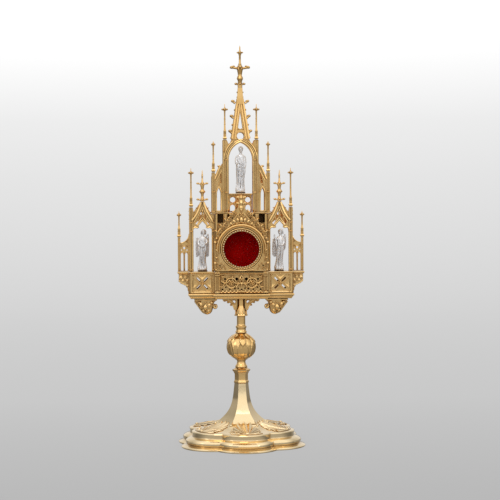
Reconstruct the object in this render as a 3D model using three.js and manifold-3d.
// Gothic tower reliquary of gilded brass: a six-lobed foot and a knopped stem carry a pierced tower with a
// round relic window, two side chapels with angels and an upper niche with a saint under a crocketed spire.
// Millimetres, +Z up, the front faces -Y. The origin is the centre of the foot's underside.
import * as THREE from "three";
import { mergeVertices } from "three/addons/utils/BufferGeometryUtils.js";
import Module from "manifold-3d";

// ---- Main sizes -------------------------------------------------------------------------------------
const HEIGHT = 600; // overall height, floor to the tip of the top finial
const GAP = 0.3; // clearance between neighbouring castings
const LOBES = 6; // lobes of the foot, and sides of its flared stem
const FOOT_TURN = 4; // degrees the foot is turned on the stem
const FOOT_TOP = 91.7;

// Levels of the storeys, bottom to top.
const COLLAR_TOP = 126.9;
const KNOP_TOP = 167.6;
const STEM_TOP = 193.2;
const BASE_BOTTOM = 220.3;
const BASE_TOP = 228.2;
const CHAPEL_FLOOR = 261;
const MID_SHELF = { bottom: 347.7, top: 349.7 };
const UPPER_FLOOR = { bottom: 376, top: 378 };
const ARCH_TOP = 458.3; // top of the upper niche frame
const SPIRE_TOP = 536.6;

// Depths: front frames, back frames and the projecting centre.
const FRONT = { near: -14, far: -10.5 };
const BACK = { near: 10, far: 12.5 };
const PLATE = { near: -25, far: -21.6 };
const PANEL = { near: -23.5, far: -20.4 };

// Widths, measured from the middle of the tower.
const NICHE = { half: 18.2, outer: 26.6, springing: 428.7, apex: 454.6 };
const CHAPEL = { middle: 57.7, half: 13.9, springing: 318, apex: 336 };
const BODY_HALF = 38.3;
const AEDICULE = { inner: 26.9, outer: 43.6, lightFrom: 28.9, lightTo: 36.7 };
const WINDOW = { z: 295.5, opening: 26.5, glass: 28.5, bezel: 31.2, sides: 28 };

// ---- Materials --------------------------------------------------------------------------------------
const gold = new THREE.MeshStandardMaterial({ color: 0xc79b5b, roughness: 0.25, metalness: 1 });
const silver = new THREE.MeshStandardMaterial({ color: 0xc8c6c4, roughness: 0.35, metalness: 1 });
const velvet = new THREE.MeshStandardMaterial({ color: 0x6e0204, roughness: 0.9, metalness: 0 });
const glass = new THREE.MeshStandardMaterial({
  color: 0xf4f6f6, roughness: 0.03, metalness: 0, transparent: true, opacity: 0.2,
});
const bronze = new THREE.MeshStandardMaterial({ color: 0x7c5a31, roughness: 0.4, metalness: 1 });

const group = new THREE.Group();
const wasm = await Module();
wasm.setup();

// ---- Solids -----------------------------------------------------------------------------------------
const WELD = 1e-4; // vertices closer than this are one
const SLIVER = 0.01; // detail finer than this is dropped
const UP = Math.PI / 2;
const radians = THREE.MathUtils.degToRad;

// A closed three.js geometry as a solid that can be joined and cut.
function solid(geometry) {
  const bare = new THREE.BufferGeometry();
  bare.setAttribute("position", geometry.getAttribute("position"));
  bare.setIndex(geometry.index);
  const welded = mergeVertices(bare, WELD);
  const corners = welded.index.array;
  const faces = [];
  for (let i = 0; i < corners.length; i += 3) {
    const [a, b, c] = corners.slice(i, i + 3);
    if (a !== b && b !== c && c !== a) faces.push(a, b, c);
  }
  return new wasm.Manifold(new wasm.Mesh({
    numProp: 3,
    vertProperties: welded.attributes.position.array,
    triVerts: new Uint32Array(faces),
  }));
}

function union(pieces) {
  return pieces.reduce((whole, piece) => whole.add(piece));
}

// The same solid mirrored to the other side of the tower.
function mirrored(piece) {
  return piece.mirror([1, 0, 0]);
}

// Adds a solid to the model as one named node, without the slivers that joining leaves.
function node(name, piece, material) {
  const mesh = piece.simplify(SLIVER).getMesh();
  const geometry = new THREE.BufferGeometry();
  geometry.setAttribute("position", new THREE.BufferAttribute(mesh.vertProperties, 3));
  geometry.setIndex(new THREE.BufferAttribute(mesh.triVerts, 1));
  geometry.computeVertexNormals();
  const part = new THREE.Mesh(geometry, material);
  part.name = name;
  group.add(part);
}

// Two nodes from one solid drawn on the right: NAME_right, and its mirror NAME_left.
function pair(name, piece, material) {
  node(name + "_right", piece, material);
  node(name + "_left", mirrored(piece), material);
}

function box(x0, x1, y0, y1, z0, z1) {
  const geometry = new THREE.BoxGeometry(x1 - x0, y1 - y0, z1 - z0);
  geometry.translate((x0 + x1) / 2, (y0 + y1) / 2, (z0 + z1) / 2);
  return solid(geometry);
}

// A flat plate standing in the X-Z plane: an outline of [x, z] points between two depths, cut by holes.
function plate(outline, depth, holes = []) {
  const shape = new THREE.Shape(outline.map(([x, z]) => new THREE.Vector2(x, z)));
  const thick = depth.far - depth.near;
  const geometry = new THREE.ExtrudeGeometry(shape, { depth: thick, bevelEnabled: false });
  geometry.rotateX(UP);
  geometry.translate(0, depth.far, 0);
  const through = { near: depth.near - 1, far: depth.far + 1 };
  return holes.reduce((whole, hole) => whole.subtract(plate(hole, through)), solid(geometry));
}

// A straight piece with n sides: radius r0 at z0, r1 at z1.
function frustum(sides, r0, r1, z0, z1, x = 0, y = 0, turn = 0) {
  const geometry = new THREE.CylinderGeometry(r1, r0, z1 - z0, sides);
  geometry.rotateX(UP);
  geometry.rotateZ(turn);
  geometry.translate(x, y, (z0 + z1) / 2);
  return solid(geometry);
}

// A turned piece about a vertical axis: rows of [radius, z] from the bottom up.
function turned(rows, sides, x = 0, y = 0, turn = 0) {
  const first = rows[0];
  const last = rows[rows.length - 1];
  const points = [[0, first[1]], ...rows, [0, last[1]]].map(([r, z]) => new THREE.Vector2(r, z));
  const geometry = new THREE.LatheGeometry(points, sides);
  geometry.rotateX(UP);
  geometry.rotateZ(turn);
  geometry.translate(x, y, 0);
  return solid(geometry);
}

// A small rounded piece stretched to three half-sizes, tilted about its own X, then turned about +Z.
// Detail 1 is a ball; detail 0 is a pointed petal.
function ball(half, at, detail = 0, tilt = 0, turn = 0) {
  const geometry = detail ? new THREE.IcosahedronGeometry(1, detail) : new THREE.OctahedronGeometry(1);
  geometry.scale(half[0], half[1], half[2]);
  geometry.rotateX(tilt);
  geometry.rotateZ(turn);
  geometry.translate(at[0], at[1], at[2]);
  return solid(geometry);
}

// ---- Outlines ---------------------------------------------------------------------------------------
// Points along a circle, from one angle to another in degrees.
function arc(x, z, radius, from, to, steps) {
  return Array.from({ length: steps + 1 }, (_, i) => {
    const angle = radians(from + ((to - from) * i) / steps);
    return [x + radius * Math.cos(angle), z + radius * Math.sin(angle)];
  });
}

function circle(x, z, radius, steps) {
  return arc(x, z, radius, 0, 360, steps).slice(0, -1);
}

// A pointed arch from the right springing over the apex to the left springing.
function pointedArch(x, half, springing, apex, steps) {
  const rise = apex - springing;
  const radius = (half * half + rise * rise) / (2 * half);
  const sweep = THREE.MathUtils.radToDeg(Math.asin(rise / radius));
  const right = arc(x + half - radius, springing, radius, 0, sweep, steps);
  const left = right.map(([px, pz]) => [2 * x - px, pz]).reverse();
  return [...right, ...left.slice(1)];
}

// An arched light with its straight sides.
function light(x, half, sill, springing, apex, steps) {
  return [[x - half, sill], [x + half, sill], ...pointedArch(x, half, springing, apex, steps)];
}

// An edge from one point to another with evenly spaced leaf crockets standing out to its right-hand side.
function crocketedEdge(from, to, count, reach) {
  const length = Math.hypot(to[0] - from[0], to[1] - from[1]);
  const along = [(to[0] - from[0]) / length, (to[1] - from[1]) / length];
  const out = [along[1], -along[0]];
  const at = (s, o) => [from[0] + along[0] * s + out[0] * o, from[1] + along[1] * s + out[1] * o];
  const points = [from];
  for (let i = 0; i < count; i++) {
    const s = (length * (i + 0.62)) / count;
    points.push(at(s - 0.55 * reach, 0));
    points.push(at(s - 0.1 * reach, 0.95 * reach));
    points.push(at(s + 0.35 * reach, reach));
    points.push(at(s + 0.4 * reach, 0.35 * reach));
    points.push(at(s + 0.7 * reach, 0));
  }
  points.push(to);
  return points;
}

// The right half of an outline and its mirror image, as one closed outline.
function symmetric(half) {
  const left = half.filter(([x]) => x > WELD).map(([x, z]) => [-x, z]).reverse();
  return [...half, ...left];
}

// ---- Foot -------------------------------------------------------------------------------------------
// Rings of the foot: [z, radius at the middle of a lobe, bend]. Bend 1 is a round lobe, -1 a flat side.
const FOOT_OUTSIDE = [
  [0, 100, 1], [2, 100, 1], [5.4, 91.4, 1], [8, 93, 1], [12, 92.4, 1], [15.2, 84, 1], [22, 82, 1],
  [24.2, 79, 1], [25.2, 71, 0.8], [26.6, 58, 0.35], [28.6, 45.5, -0.4], [31.8, 35, -1], [36.2, 29.4, -1],
  [43.6, 22.2, -1], [51, 17.2, -1], [60, 13.4, -1], [72, 10.7, -1], [FOOT_TOP, 9.5, -1],
];
const FOOT_INSIDE = [
  [58, 9, -1], [42, 19, -1], [29.6, 32, -0.9], [26.2, 43, -0.3], [21.8, 76, 1], [14, 79.6, 1],
  [4.6, 88, 1], [0, 95, 1],
];
const LOBE_STEPS = 6; // flats per lobe
const LOBE_WIDTH = 360 / LOBES;

// One ring of the foot: the distance follows a power of the cosine across each lobe.
function footRing([z, radius, bend]) {
  const points = [];
  for (let i = 0; i < LOBES * LOBE_STEPS; i++) {
    const across = radians(((i % LOBE_STEPS) / LOBE_STEPS - 0.5) * LOBE_WIDTH);
    const angle = radians((i / LOBE_STEPS - 0.5) * LOBE_WIDTH + FOOT_TURN - 90);
    const reach = radius * Math.cos(across) ** bend;
    points.push(reach * Math.cos(angle), reach * Math.sin(angle), z);
  }
  return points;
}

// The hollow casting: up inside it from its crown, round the rim and up outside to the top.
function footShell() {
  const rings = [...FOOT_INSIDE, ...FOOT_OUTSIDE];
  const around = LOBES * LOBE_STEPS;
  const positions = rings.flatMap(footRing);
  positions.push(0, 0, rings[0][0], 0, 0, FOOT_TOP);
  const inner = rings.length * around;
  const faces = [];
  for (let i = 0; i < around; i++) {
    const next = (i + 1) % around;
    faces.push(inner, i, next);
    for (let k = 0; k + 1 < rings.length; k++) {
      const low = k * around;
      const high = low + around;
      faces.push(low + i, high + i, high + next, low + i, high + next, low + next);
    }
    const top = (rings.length - 1) * around;
    faces.push(inner + 1, top + next, top + i);
  }
  const geometry = new THREE.BufferGeometry();
  geometry.setAttribute("position", new THREE.Float32BufferAttribute(positions, 3));
  geometry.setIndex(faces.reverse());
  return solid(geometry);
}

// A fan of leaf petals lying on each lobe, opening from the rim towards the stem.
function palmettes() {
  const petals = 5;
  const rootAt = 75;
  const slope = 8;
  const thick = 3.4;
  const sunk = 23.3;
  const fan = [];
  for (let i = 0; i <= 2 * petals; i++) {
    const angle = radians(-80 + (160 * i) / (2 * petals));
    const reach = i % 2 ? 25 : 19.5;
    fan.push([reach * Math.sin(angle), -reach * Math.cos(angle)]);
  }
  const flat = plate([[-3, 3], ...fan, [3, 3]], { near: 0, far: thick }).rotate([90, 0, 0]);
  const leaf = flat.rotate([slope, 0, 0]).translate([0, -rootAt, sunk]);
  return union(Array.from({ length: LOBES }, (_, i) => leaf.rotate([0, 0, i * LOBE_WIDTH + FOOT_TURN])));
}

// ---- Stem -------------------------------------------------------------------------------------------
const HEX_TURN = radians(FOOT_TURN);
const COLLAR_HEX = [
  [11.2, FOOT_TOP + GAP], [11.2, 95.6], [10.1, 96.4], [10.1, 106], [11.4, 109], [13.6, 112.3],
  [9.4, 115.8],
];
const COLLAR_ROUND = [[8.6, 115.4], [8.8, 118.4], [6.4, 122.4], [6.4, COLLAR_TOP]];
const KNOP_ROWS = [
  [7.6, COLLAR_TOP + GAP], [14.6, 132.4], [19.4, 137.6], [22, 144], [22, 152], [18.4, 159.6],
  [12.4, 165], [8.4, KNOP_TOP],
];
const UPPER_STEM_ROWS = [
  [8.6, KNOP_TOP + GAP], [7.3, 170.6], [7.2, 174.6], [8, 175.6], [8, 178.2], [6.5, 179.4],
  [6.4, STEM_TOP],
];
const CAPITAL_ROWS = [
  [9.4, STEM_TOP + GAP], [10.2, 194.4], [9.2, 196], [8.8, 198.4], [7.2, 202.6], [5.6, 207], [5.4, 219.9],
];

// The round knop with pointed petals rising and hanging round its middle.
function knop() {
  const body = turned(KNOP_ROWS, 12, 0, 0, HEX_TURN);
  const petals = [];
  for (let i = 0; i < LOBES; i++) {
    const angle = radians(i * LOBE_WIDTH + FOOT_TURN - 90);
    for (const [shift, z, tilt] of [[0, 155.5, -28], [0.5, 140, 30]]) {
      const turn = angle + shift * radians(LOBE_WIDTH);
      const radius = 17.6;
      const at = [radius * Math.cos(turn), radius * Math.sin(turn), z];
      petals.push(ball([7, 3.6, 10], at, 0, radians(tilt), turn + UP));
    }
  }
  return union([body, ...petals]);
}

// A curved bracket reaching out from the capital to carry the tower base.
function bracket() {
  const top = 219.9;
  const under = arc(27, 200, 16.4, 170, 98, 6);
  const outline = [[5.2, top], [5.5, 206], [7.2, 201.4], ...under, [26.8, 215.6], [28.6, top]];
  const eye = circle(10.6, 214.8, 2.2, 8);
  return plate(outline, { near: -3, far: 3 }, [eye]);
}

// A leafy corbel hanging under the tower base, with a volute curled in towards the stem.
function pendant() {
  const top = BASE_BOTTOM - GAP;
  const outer = [[70.6, top], [68, 215.6], [65.4, 209], [61.4, 203.4], [57.6, 198.8]];
  const bottom = arc(51.6, 202.2, 6.4, -40, -150, 4);
  const curl = arc(39.4, 208.4, 3.4, -70, -250, 5);
  const outline = [...outer, ...bottom, [43.6, 203.6], ...curl, [41.6, 214.6], [36.2, top]];
  const depth = 12.6;
  const front = plate(outline, { near: -depth, far: depth });
  const side = symmetric([[5, 195], [9, 204], [depth, 215], [depth, top + 1]]);
  const across = plate(side, { near: -76, far: -30 }).rotate([0, 0, 90]);
  return front.intersect(across);
}

// ---- Tower base and boxes ---------------------------------------------------------------------------
const BASE_STEPS = [[BASE_BOTTOM, 222.6, 76.4], [222.6, 224.6, 77.8], [224.6, BASE_TOP, 79.4]];
const BASE_DEPTH = 16.5;
const CENTRE_REACH = 26.5;
const BOX = { inner: 40.5, outer: 76.6, wall: 2.4, bottom: BASE_TOP + GAP };

function towerBase() {
  const steps = BASE_STEPS.flatMap(([z0, z1, half]) => {
    const inset = 79.4 - half;
    const depth = BASE_DEPTH - inset;
    const centre = 42.5 - inset;
    return [
      box(-half, half, -depth, depth, z0 - (z0 > BASE_BOTTOM ? 0.4 : 0), z1),
      box(-centre, centre, -CENTRE_REACH + inset, 0, z0 - (z0 > BASE_BOTTOM ? 0.4 : 0), z1),
    ];
  });
  return union(steps);
}

// The open-backed box under a chapel, pierced in front and behind by a saltire of four slots.
function chapelBox() {
  const { inner, outer, wall, bottom } = BOX;
  const top = CHAPEL_FLOOR - 1.6;
  const depth = 14;
  const middle = (inner + outer) / 2;
  const shell = box(inner, outer, -depth, depth, bottom, top + 0.4);
  const hollow = box(inner + wall, outer - wall, -depth + wall, depth - wall, bottom - 1, top - 0.8);
  const sunk = box(inner + 3.4, outer - 3.4, -depth - 1, -depth + 0.8, bottom + 3.4, top - 2.6);
  const floor = box(inner, outer + 1.6, -depth - 1.2, depth + 1.2, top, CHAPEL_FLOOR);
  const slots = [45, 135, 225, 315].map((angle) => {
    const slot = box(4, 11.4, -depth - 3, depth + 3, -1.1, 1.1).rotate([0, angle, 0]);
    return slot.translate([middle, 0, (bottom + top) / 2]);
  });
  return shell.subtract(hollow).subtract(sunk).add(floor).subtract(union(slots));
}

// The carved panel in the middle of the base storey, framed by two pilasters.
function traceryPanel() {
  const low = BASE_TOP + GAP;
  const top = 261.8;
  const field = plate(
    [[-33.6, 231.6], [33.6, 231.6], [33.6, top], [-33.6, top]], PANEL,
    [-15, 15].flatMap((x) => [0, 90, 180, 270].map((a) => circle(
      x + 3.4 * Math.cos(radians(a + 45)), 246 + 3.4 * Math.sin(radians(a + 45)), 2.1, 5))),
  );
  const relief = { near: PANEL.near - 1.4, far: PANEL.near + 0.6 };
  const rings = [-15, 15].map((x) => plate(circle(x, 245.6, 8.2, 12), relief, [circle(x, 245.6, 6.4, 12)]));
  const lozenge = plate(circle(0, 249, 7.2, 8), relief, [circle(0, 249, 5.4, 8)]);
  const ledge = box(-33.6, 33.6, PANEL.near - 2, PANEL.far, 257, 259.4);
  const foot = box(-40.2, 40.2, PANEL.near + 0.6, PANEL.far, low, 232);
  const pilasters = [-36.2, 36.2].map((x) => {
    const shaft = box(x - 3.9, x + 3.9, PANEL.near - 1.4, PANEL.far, low, top);
    const groove = box(x - 1.1, x + 1.1, PANEL.near - 3, PANEL.near + 0.4, 233, 255);
    return shaft.subtract(groove);
  });
  return union([field, ...rings, lozenge, ledge, foot, ...pilasters]);
}

// The three closed walls behind the window storey.
function centreBody() {
  const low = BASE_TOP + GAP;
  const top = MID_SHELF.bottom - GAP;
  const shell = box(-BODY_HALF, BODY_HALF, -18.6, BACK.far, low, top);
  const hollow = box(-BODY_HALF + 2.4, BODY_HALF - 2.4, -20, BACK.far - 2.4, low - 1, top + 1);
  return shell.subtract(hollow);
}

// ---- Window storey ----------------------------------------------------------------------------------
// The front plate: upright sides with ball crockets, a steep crocketed gable and a two-tier leaf finial.
function gableFront() {
  const side = crocketedEdge([38.4, 262.2], [38.4, 310], 4, 2.8);
  const rake = crocketedEdge([36, 320], [9.4, 352], 3, 4);
  const finial = [
    [5.4, 357.6], [4, 360], [7.8, 362.4], [8, 364.8], [4.4, 367], [3.6, 369.6], [7.6, 371.4], [7.8, 373.8],
    [4, 375.4], [0, 376.4],
  ];
  const half = [[0, 262.2], ...side, [37.4, 314], ...rake, ...finial];
  const hole = circle(0, WINDOW.z, WINDOW.bezel + 2 * GAP, WINDOW.sides);
  const hood = [...arc(0, WINDOW.z, 35.6, -8, 188, 12), ...arc(0, WINDOW.z, 33, 188, -8, 12)];
  const relief = { near: PLATE.near - 1.6, far: PLATE.near + 0.6 };
  return plate(symmetric(half), PLATE, [hole]).add(plate(hood, relief));
}

// A piece turned about the window's axis: rows of [radius, depth] round its closed section.
function windowRing(rows) {
  const points = [...rows, rows[0]].map(([r, y]) => new THREE.Vector2(r, y));
  const geometry = new THREE.LatheGeometry(points, WINDOW.sides);
  geometry.translate(0, 0, WINDOW.z);
  return solid(geometry);
}

// ---- Frames -----------------------------------------------------------------------------------------
// A chapel front: two piers, a cusped pointed arch and a steep gable, drawn about its own middle.
function chapelFront() {
  const { middle: m, half, springing, apex } = CHAPEL;
  const innerPier = 4.9;
  const outerPier = 5.8;
  const floor = CHAPEL_FLOOR + GAP;
  const cusp = 3;
  const opening = [
    [m + half, floor], [m + half, springing], [m + half - 2.4, springing + 8], [m + 5.6, springing + 10],
    [m + 5.2, springing + cusp * 3.4], [m + 2, apex - 2.4], [m, apex],
  ];
  const left = opening.slice(0, -1).map(([x, z]) => [2 * m - x, z]);
  const outline = [
    [m + half + outerPier, floor], [m + half + outerPier, 358], [m + half + 0.4, 358],
    [m + half - 0.6, 350.4], [m + 2.6, 366], [m - 2.6, 366], [m - half + 0.8, 347.3],
    [m - half - innerPier, 347.3], [m - half - innerPier, floor], ...left,
    ...opening.reverse(),
  ];
  const slits = [-1, 1].map((side) => [
    [m + side * 1.2, apex + 3.6], [m + side * 5.8, apex + 3], [m + side * 1.6, apex + 12.6],
  ]);
  return plate(outline, FRONT, slits);
}

// The plain frame behind it.
function chapelBack() {
  const { middle: m, half, springing, apex } = CHAPEL;
  const floor = CHAPEL_FLOOR + GAP;
  const pier = 3.6;
  const wide = half + 1.2;
  const arch = pointedArch(m, wide, springing, apex + 4, 4);
  const outline = [
    [m + wide + pier, floor], [m + wide + pier, 346], [m + wide, 348], [m, 362], [m - wide + 2.2, 347],
    [m - wide - pier, 347], [m - wide - pier, floor], [m - wide, floor],
  ];
  return plate([...outline, ...arch.reverse(), [m + wide, floor]], BACK);
}

// The upper niche frame; the front one carries spandrels for the spire and pinnacles.
function nicheFrame(depth, top) {
  const { half, outer, springing, apex } = NICHE;
  const foot = MID_SHELF.top + GAP;
  const arch = pointedArch(0, half, springing, apex, 6);
  const shoulders = top > ARCH_TOP - 1
    ? [[20.8, ARCH_TOP], [18.4, 452.8], [14.6, ARCH_TOP]]
    : [[outer - 3, top]];
  const right = [[half, foot], [outer, foot], [outer, Math.min(top, ARCH_TOP)], ...shoulders];
  const left = right.slice(1).map(([x, z]) => [-x, z]).reverse();
  return plate([...right, ...left, [-half, foot], ...arch.reverse()], depth);
}

// A half-gabled bay between the niche and the outer pier, with one tall light.
function aedicule(depth, top) {
  const { inner, outer, lightFrom, lightTo } = AEDICULE;
  const foot = MID_SHELF.top + GAP;
  const middle = (lightFrom + lightTo) / 2;
  const half = (lightTo - lightFrom) / 2;
  const outline = [
    [inner, foot], [outer, foot], [outer, top], [outer - 5.2, top], [36.4, 401.6], [32.4, 412],
    [34.6, 417.6], [33.6, 420.4], [29.4, 418.6], [inner, 424],
  ];
  return plate(outline, depth, [light(middle, half, foot + 1.4, 377, 388, 3)]);
}

// The thin outer wing: a double lancet under a sweeping flyer.
function wing() {
  const inner = 77.8;
  const outer = 94.7;
  const foot = CHAPEL_FLOOR + GAP;
  const pierTop = 312;
  const sweep = arc(inner + 13.6, 317.5, 13.6, 262, 180, 5);
  const outline = [
    [inner, foot], [outer, foot], [outer, pierTop], [outer - 3.9, pierTop], [outer - 4.1, 304.6], ...sweep,
  ];
  const lights = [82, 88.3].map((x) => light(x, 1.9, foot + 1, 286, 289.6, 2));
  const eye = circle(85.2, 296.4, 2.2, 6);
  return plate(outline, { near: -1.6, far: 1.6 }, [...lights, eye]);
}

// The leaf-carved corbel and shelf that carry the wing.
function wingCorbel() {
  const top = 258.4;
  const inner = 77.3;
  const outline = [
    [inner, BASE_TOP + GAP], [79.3, BASE_TOP + GAP], [79.8, 236], [83, 240.6], [88.6, 242.6], [93.8, 245.4],
    [94.3, 249], [94.3, top], [inner, top],
  ];
  const shelf = box(78.6, 95.4, -8.4, 8.4, top - 0.4, CHAPEL_FLOOR);
  return plate(outline, { near: -7, far: 7 }).add(shelf);
}

// The wall behind the middle storey: two round eyes over two arched lights.
function midTracery() {
  const half = 17.8;
  const foot = MID_SHELF.top + GAP;
  const top = UPPER_FLOOR.bottom - GAP;
  const holes = [-1, 1].flatMap((side) => [
    circle(side * 11.4, 368.4, 4, 10),
    light(side * 11.6, 4.3, foot + 1, 356.6, 361.6, 3),
  ]);
  return plate([[-half, foot], [half, foot], [half, top], [-half, top]], BACK, holes);
}

// ---- Spire, finials and pinnacles -------------------------------------------------------------------
// Two pierced gables lean together into one square shaft.
function spire() {
  const foot = ARCH_TOP + GAP;
  const shaftFrom = 512;
  const edge = crocketedEdge([14.3, foot], [5, 521], 3, 6);
  const slit = [[-4.8, 476], [4.8, 476], [0, 502]];
  const eye = circle(0, 465.2, 5.6, 10);
  const face = plate(symmetric([[0, foot], ...edge, [4.6, 524], [0, 524]]), FRONT, [slit, eye]);
  const lean = (-FRONT.near - 4.2) / (521 - foot);
  const leaned = face.warp((point) => {
    point[1] += (point[2] - foot) * lean;
  });
  const shaft = frustum(4, 5 * Math.SQRT2, 3.5 * Math.SQRT2, shaftFrom, SPIRE_TOP, 0, 0, UP / 2);
  return union([leaned, leaned.mirror([0, 1, 0]), shaft]);
}

// Four leaf arms standing out from a post: a cross seen from above.
function leafCross(x, y, z, reach, thick, rise = 0) {
  const half = [
    [0, z - thick], [reach, z - thick * 0.5 + rise], [reach * 0.92, z + thick * 0.7 + rise],
    [reach * 0.4, z + thick * 0.6], [0, z + thick],
  ];
  const across = plate(symmetric(half), { near: -thick * 0.6, far: thick * 0.6 });
  return across.add(across.rotate([0, 0, 90])).translate([x, y, 0]);
}

// A plain bud with four points, for the smaller crosses.
function bud(x, y, z, reach, thick) {
  return turned([[0.2, z - thick], [reach, z], [0.2, z + thick]], 4, x, y);
}

function topFinial() {
  const rows = [
    [3.6, SPIRE_TOP + GAP], [3.2, 545.6], [4.9, 550], [3, 554.6], [3.4, 557.4], [5.4, 564.6], [1.7, 572],
    [1.7, 585], [2.6, 588.4], [0.4, HEIGHT],
  ];
  return union([
    turned(rows, 6), leafCross(0, 0, 540.4, 8.5, 2.2), leafCross(0, 0, 567.6, 15.5, 3.2, 0.8),
    bud(0, 0, 588.6, 4.6, 1.9),
  ]);
}

function chapelFinial() {
  const x = CHAPEL.middle;
  const y = (FRONT.near + FRONT.far) / 2;
  const rows = [[2.8, 366.3], [2.2, 377.6], [4.3, 381], [2.4, 385], [3.2, 391], [1.6, 396], [0.5, 413.6]];
  return union([turned(rows, 6, x, y), bud(x, y, 368.8, 8.4, 2.4), leafCross(x, y, 392.8, 9, 1.7, 0.6)]);
}

// A square pinnacle: knob, gabled base, slender shaft, leaf cross and tip.
function pinnacle(x, y, foot, cross, tip, knobZ) {
  const shaft = 1.75;
  const arms = (tip - cross) * 0.58;
  const rows = [
    [2.9, foot], [4.2, knobZ], [2.8, knobZ + 1.8], [2.7, knobZ + 10], [shaft, knobZ + 13], [1.8, cross],
    [0.5, tip],
  ];
  return turned(rows, 4, x, y, UP / 2).add(bud(x, y, cross, arms, 2));
}

// ---- Figures ----------------------------------------------------------------------------------------
// A draped standing body: oval rows of [share of height, half width, half depth], folded round its hem.
function draped(rows, foot, height, folds, x, y) {
  const around = 12;
  const positions = [];
  for (const [share, wide, deep] of rows) {
    for (let i = 0; i < around; i++) {
      const angle = (2 * Math.PI * i) / around;
      const fold = 1 + 0.07 * (1 - share) * Math.cos(folds * angle);
      positions.push(x + wide * fold * Math.cos(angle), y + deep * fold * Math.sin(angle));
      positions.push(foot + share * height);
    }
  }
  const faces = [];
  const top = rows.length * around;
  positions.push(x, y, foot, x, y, foot + rows[rows.length - 1][0] * height);
  for (let i = 0; i < around; i++) {
    const next = (i + 1) % around;
    faces.push(top, next, i);
    for (let k = 0; k + 1 < rows.length; k++) {
      const low = k * around;
      const high = low + around;
      faces.push(low + i, low + next, high + next, low + i, high + next, high + i);
    }
    faces.push(top + 1, top - around + i, top - around + next);
  }
  const geometry = new THREE.BufferGeometry();
  geometry.setAttribute("position", new THREE.Float32BufferAttribute(positions, 3));
  geometry.setIndex(faces);
  return solid(geometry);
}

function saint() {
  const foot = 380.6;
  const height = 67.8;
  const body = draped([
    [0, 6.9, 5.6], [0.06, 6.4, 5], [0.3, 5.9, 4.6], [0.5, 6.9, 5.2], [0.64, 7.9, 5.6], [0.76, 7.3, 4.6],
    [0.83, 4.6, 3.2], [0.87, 2.2, 2.2],
  ], foot, height, 7, 0, 0);
  const head = ball([3.9, 4.3, 5.2], [0, -0.4, foot + height - 5.2], 1);
  const arms = [-1, 1].map((side) => ball([2.5, 4.4, 3], [side * 3.8, -4.4, 420], 0, 0, side * 0.5));
  return union([body, head, ...arms]);
}

// A winged angel; raised lifts the hand on its left side, otherwise both hold a round disc to the chest.
function angel(x, raised) {
  const foot = CHAPEL_FLOOR + 2.1;
  const height = 61.6;
  const body = draped([
    [0, 7, 5.4], [0.05, 6.4, 4.9], [0.3, 5, 4.2], [0.5, 5.2, 4.4], [0.66, 6.6, 4.8], [0.8, 5.6, 4],
    [0.86, 2.4, 2.2],
  ], foot, height, 6, x, 0);
  const head = ball([4.2, 4.4, 5.1], [x, -0.6, foot + height - 5.1], 1);
  const wings = [-1, 1].map((side) => {
    const outline = [
      [-1.4, 292], [-1.4, 304], [3.4, 314], [8, 315.4], [11, 309], [11.2, 296], [9.6, 281.6], [6.4, 279.6],
      [3, 288],
    ];
    const one = plate(outline, { near: 2, far: 5.4 });
    return (side > 0 ? one : mirrored(one)).translate([x, 0, 0]);
  });
  const arms = [-1, 1].map((side) => ball([2.4, 4.2, 2.6], [x + side * 3.6, -3.8, 302], 0, 0, side * 0.5));
  const held = raised
    ? union([
      ball([3, 3.4, 9], [x - 5.2, -3, 307.6]),
      ball([2.8, 2.8, 3.2], [x - 5.8, -3.4, 316]),
    ])
    : frustum(10, 4.1, 4.1, -1.2, 1.2, 0, 0, 0.13).rotate([90, 0, 0]).translate([x + 0.7, -5.9, 301.7]);
  return union([body, head, ...wings, ...arms, held]);
}

function plinth(x, z0, z1) {
  return turned([[7.4, z0], [7.6, z0 + 0.8], [7, z1]], 12, x, 0);
}

// ---- Assembly ---------------------------------------------------------------------------------------
node("foot", footShell().add(palmettes()), gold);
node("stem_collar", turned(COLLAR_HEX, 6, 0, 0, HEX_TURN).add(turned(COLLAR_ROUND, 12)), gold);
node("knop", knop(), gold);
node("stem_upper", turned(UPPER_STEM_ROWS, 12), gold);
node("capital", turned(CAPITAL_ROWS, 6, 0, 0, 0), gold);
pair("bracket", bracket(), gold);
node("tower_base", towerBase(), gold);
pair("pendant", pendant(), gold);

pair("chapel_box", chapelBox(), gold);
node("tracery_panel", traceryPanel(), gold);
node("centre_body", centreBody(), gold);
node("gable_front", gableFront(), gold);

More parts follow.
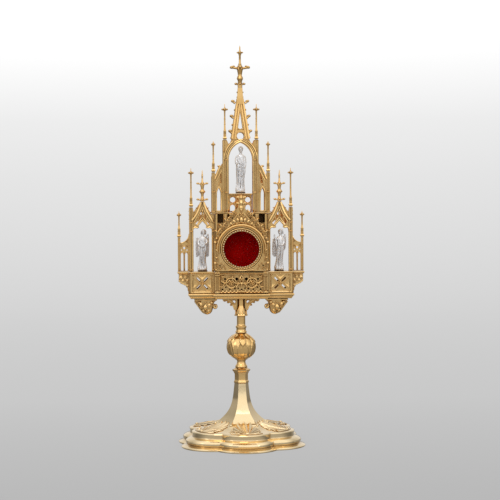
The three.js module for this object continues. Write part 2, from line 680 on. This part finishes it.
const { opening, glass: glassRadius, bezel } = WINDOW;
const BEZEL_ROWS = [
  [opening, -21.5], [opening, -27.4], [27.7, -28.6], [28.9, -27.2], [bezel, -25.8], [bezel, -21.5],
];
const disc = (near, far) => [[0, near], [glassRadius, near], [glassRadius, far], [0, far]];
const CASE_BORE = glassRadius + 0.4; // the cup's inner radius, with play for the glass
const CASE_ROWS = [
  [CASE_BORE, -21.2], [bezel, -21.2], [bezel, -4.4], [0, -4.4], [0, -6.4], [CASE_BORE, -6.4],
];
node("window_bezel", windowRing(BEZEL_ROWS), gold);
node("window_glass", windowRing(disc(-21, -19.6)), glass);
node("velvet_backing", windowRing(disc(-8.2, -6.8)), velvet);
node("relic_case", windowRing(CASE_ROWS), gold);

pair("chapel_front", chapelFront(), gold);
pair("chapel_back", chapelBack(), gold);
pair("chapel_finial", chapelFinial(), gold);
pair("wing", wing(), gold);
pair("wing_corbel", wingCorbel(), gold);
node("angel_left", angel(-CHAPEL.middle, false), silver);
node("angel_right", angel(CHAPEL.middle, true), silver);
node("angel_plinth_left", plinth(-CHAPEL.middle, CHAPEL_FLOOR + GAP, CHAPEL_FLOOR + 1.8), bronze);
node("angel_plinth_right", plinth(CHAPEL.middle, CHAPEL_FLOOR + GAP, CHAPEL_FLOOR + 1.8), bronze);

node("mid_shelf", box(-44.4, 44.4, -15, 13.4, MID_SHELF.bottom, MID_SHELF.top), gold);
node("mid_tracery", midTracery(), gold);
node("upper_floor", box(-17.7, 17.7, -14.6, 13, UPPER_FLOOR.bottom, UPPER_FLOOR.top), gold);
pair("aedicule_front", aedicule(FRONT, 409.7), gold);
pair("aedicule_back", aedicule(BACK, 404), gold);
node("niche_front", nicheFrame(FRONT, ARCH_TOP), gold);
node("niche_back", nicheFrame(BACK, ARCH_TOP), gold);
node("spire", spire(), gold);
node("top_finial", topFinial(), gold);
node("saint_plinth", plinth(0, UPPER_FLOOR.top + GAP, 380.3), bronze);
node("saint", saint(), silver);

const FRONT_MIDDLE = (FRONT.near + FRONT.far) / 2;
pair("pinnacle_upper", pinnacle(23.6, FRONT_MIDDLE, ARCH_TOP + GAP, 503.4, 512, 460.6), gold);
pair("pinnacle_aedicule", pinnacle(41, FRONT_MIDDLE, 410, 451.3, 457, 412.2), gold);
pair("pinnacle_chapel", pinnacle(74.6, FRONT_MIDDLE, 358.3, 409, 416.5, 360.6), gold);
pair("pinnacle_wing", pinnacle(92.7, 0, 312.3, 346, 352, 314.4), gold);

export default group;
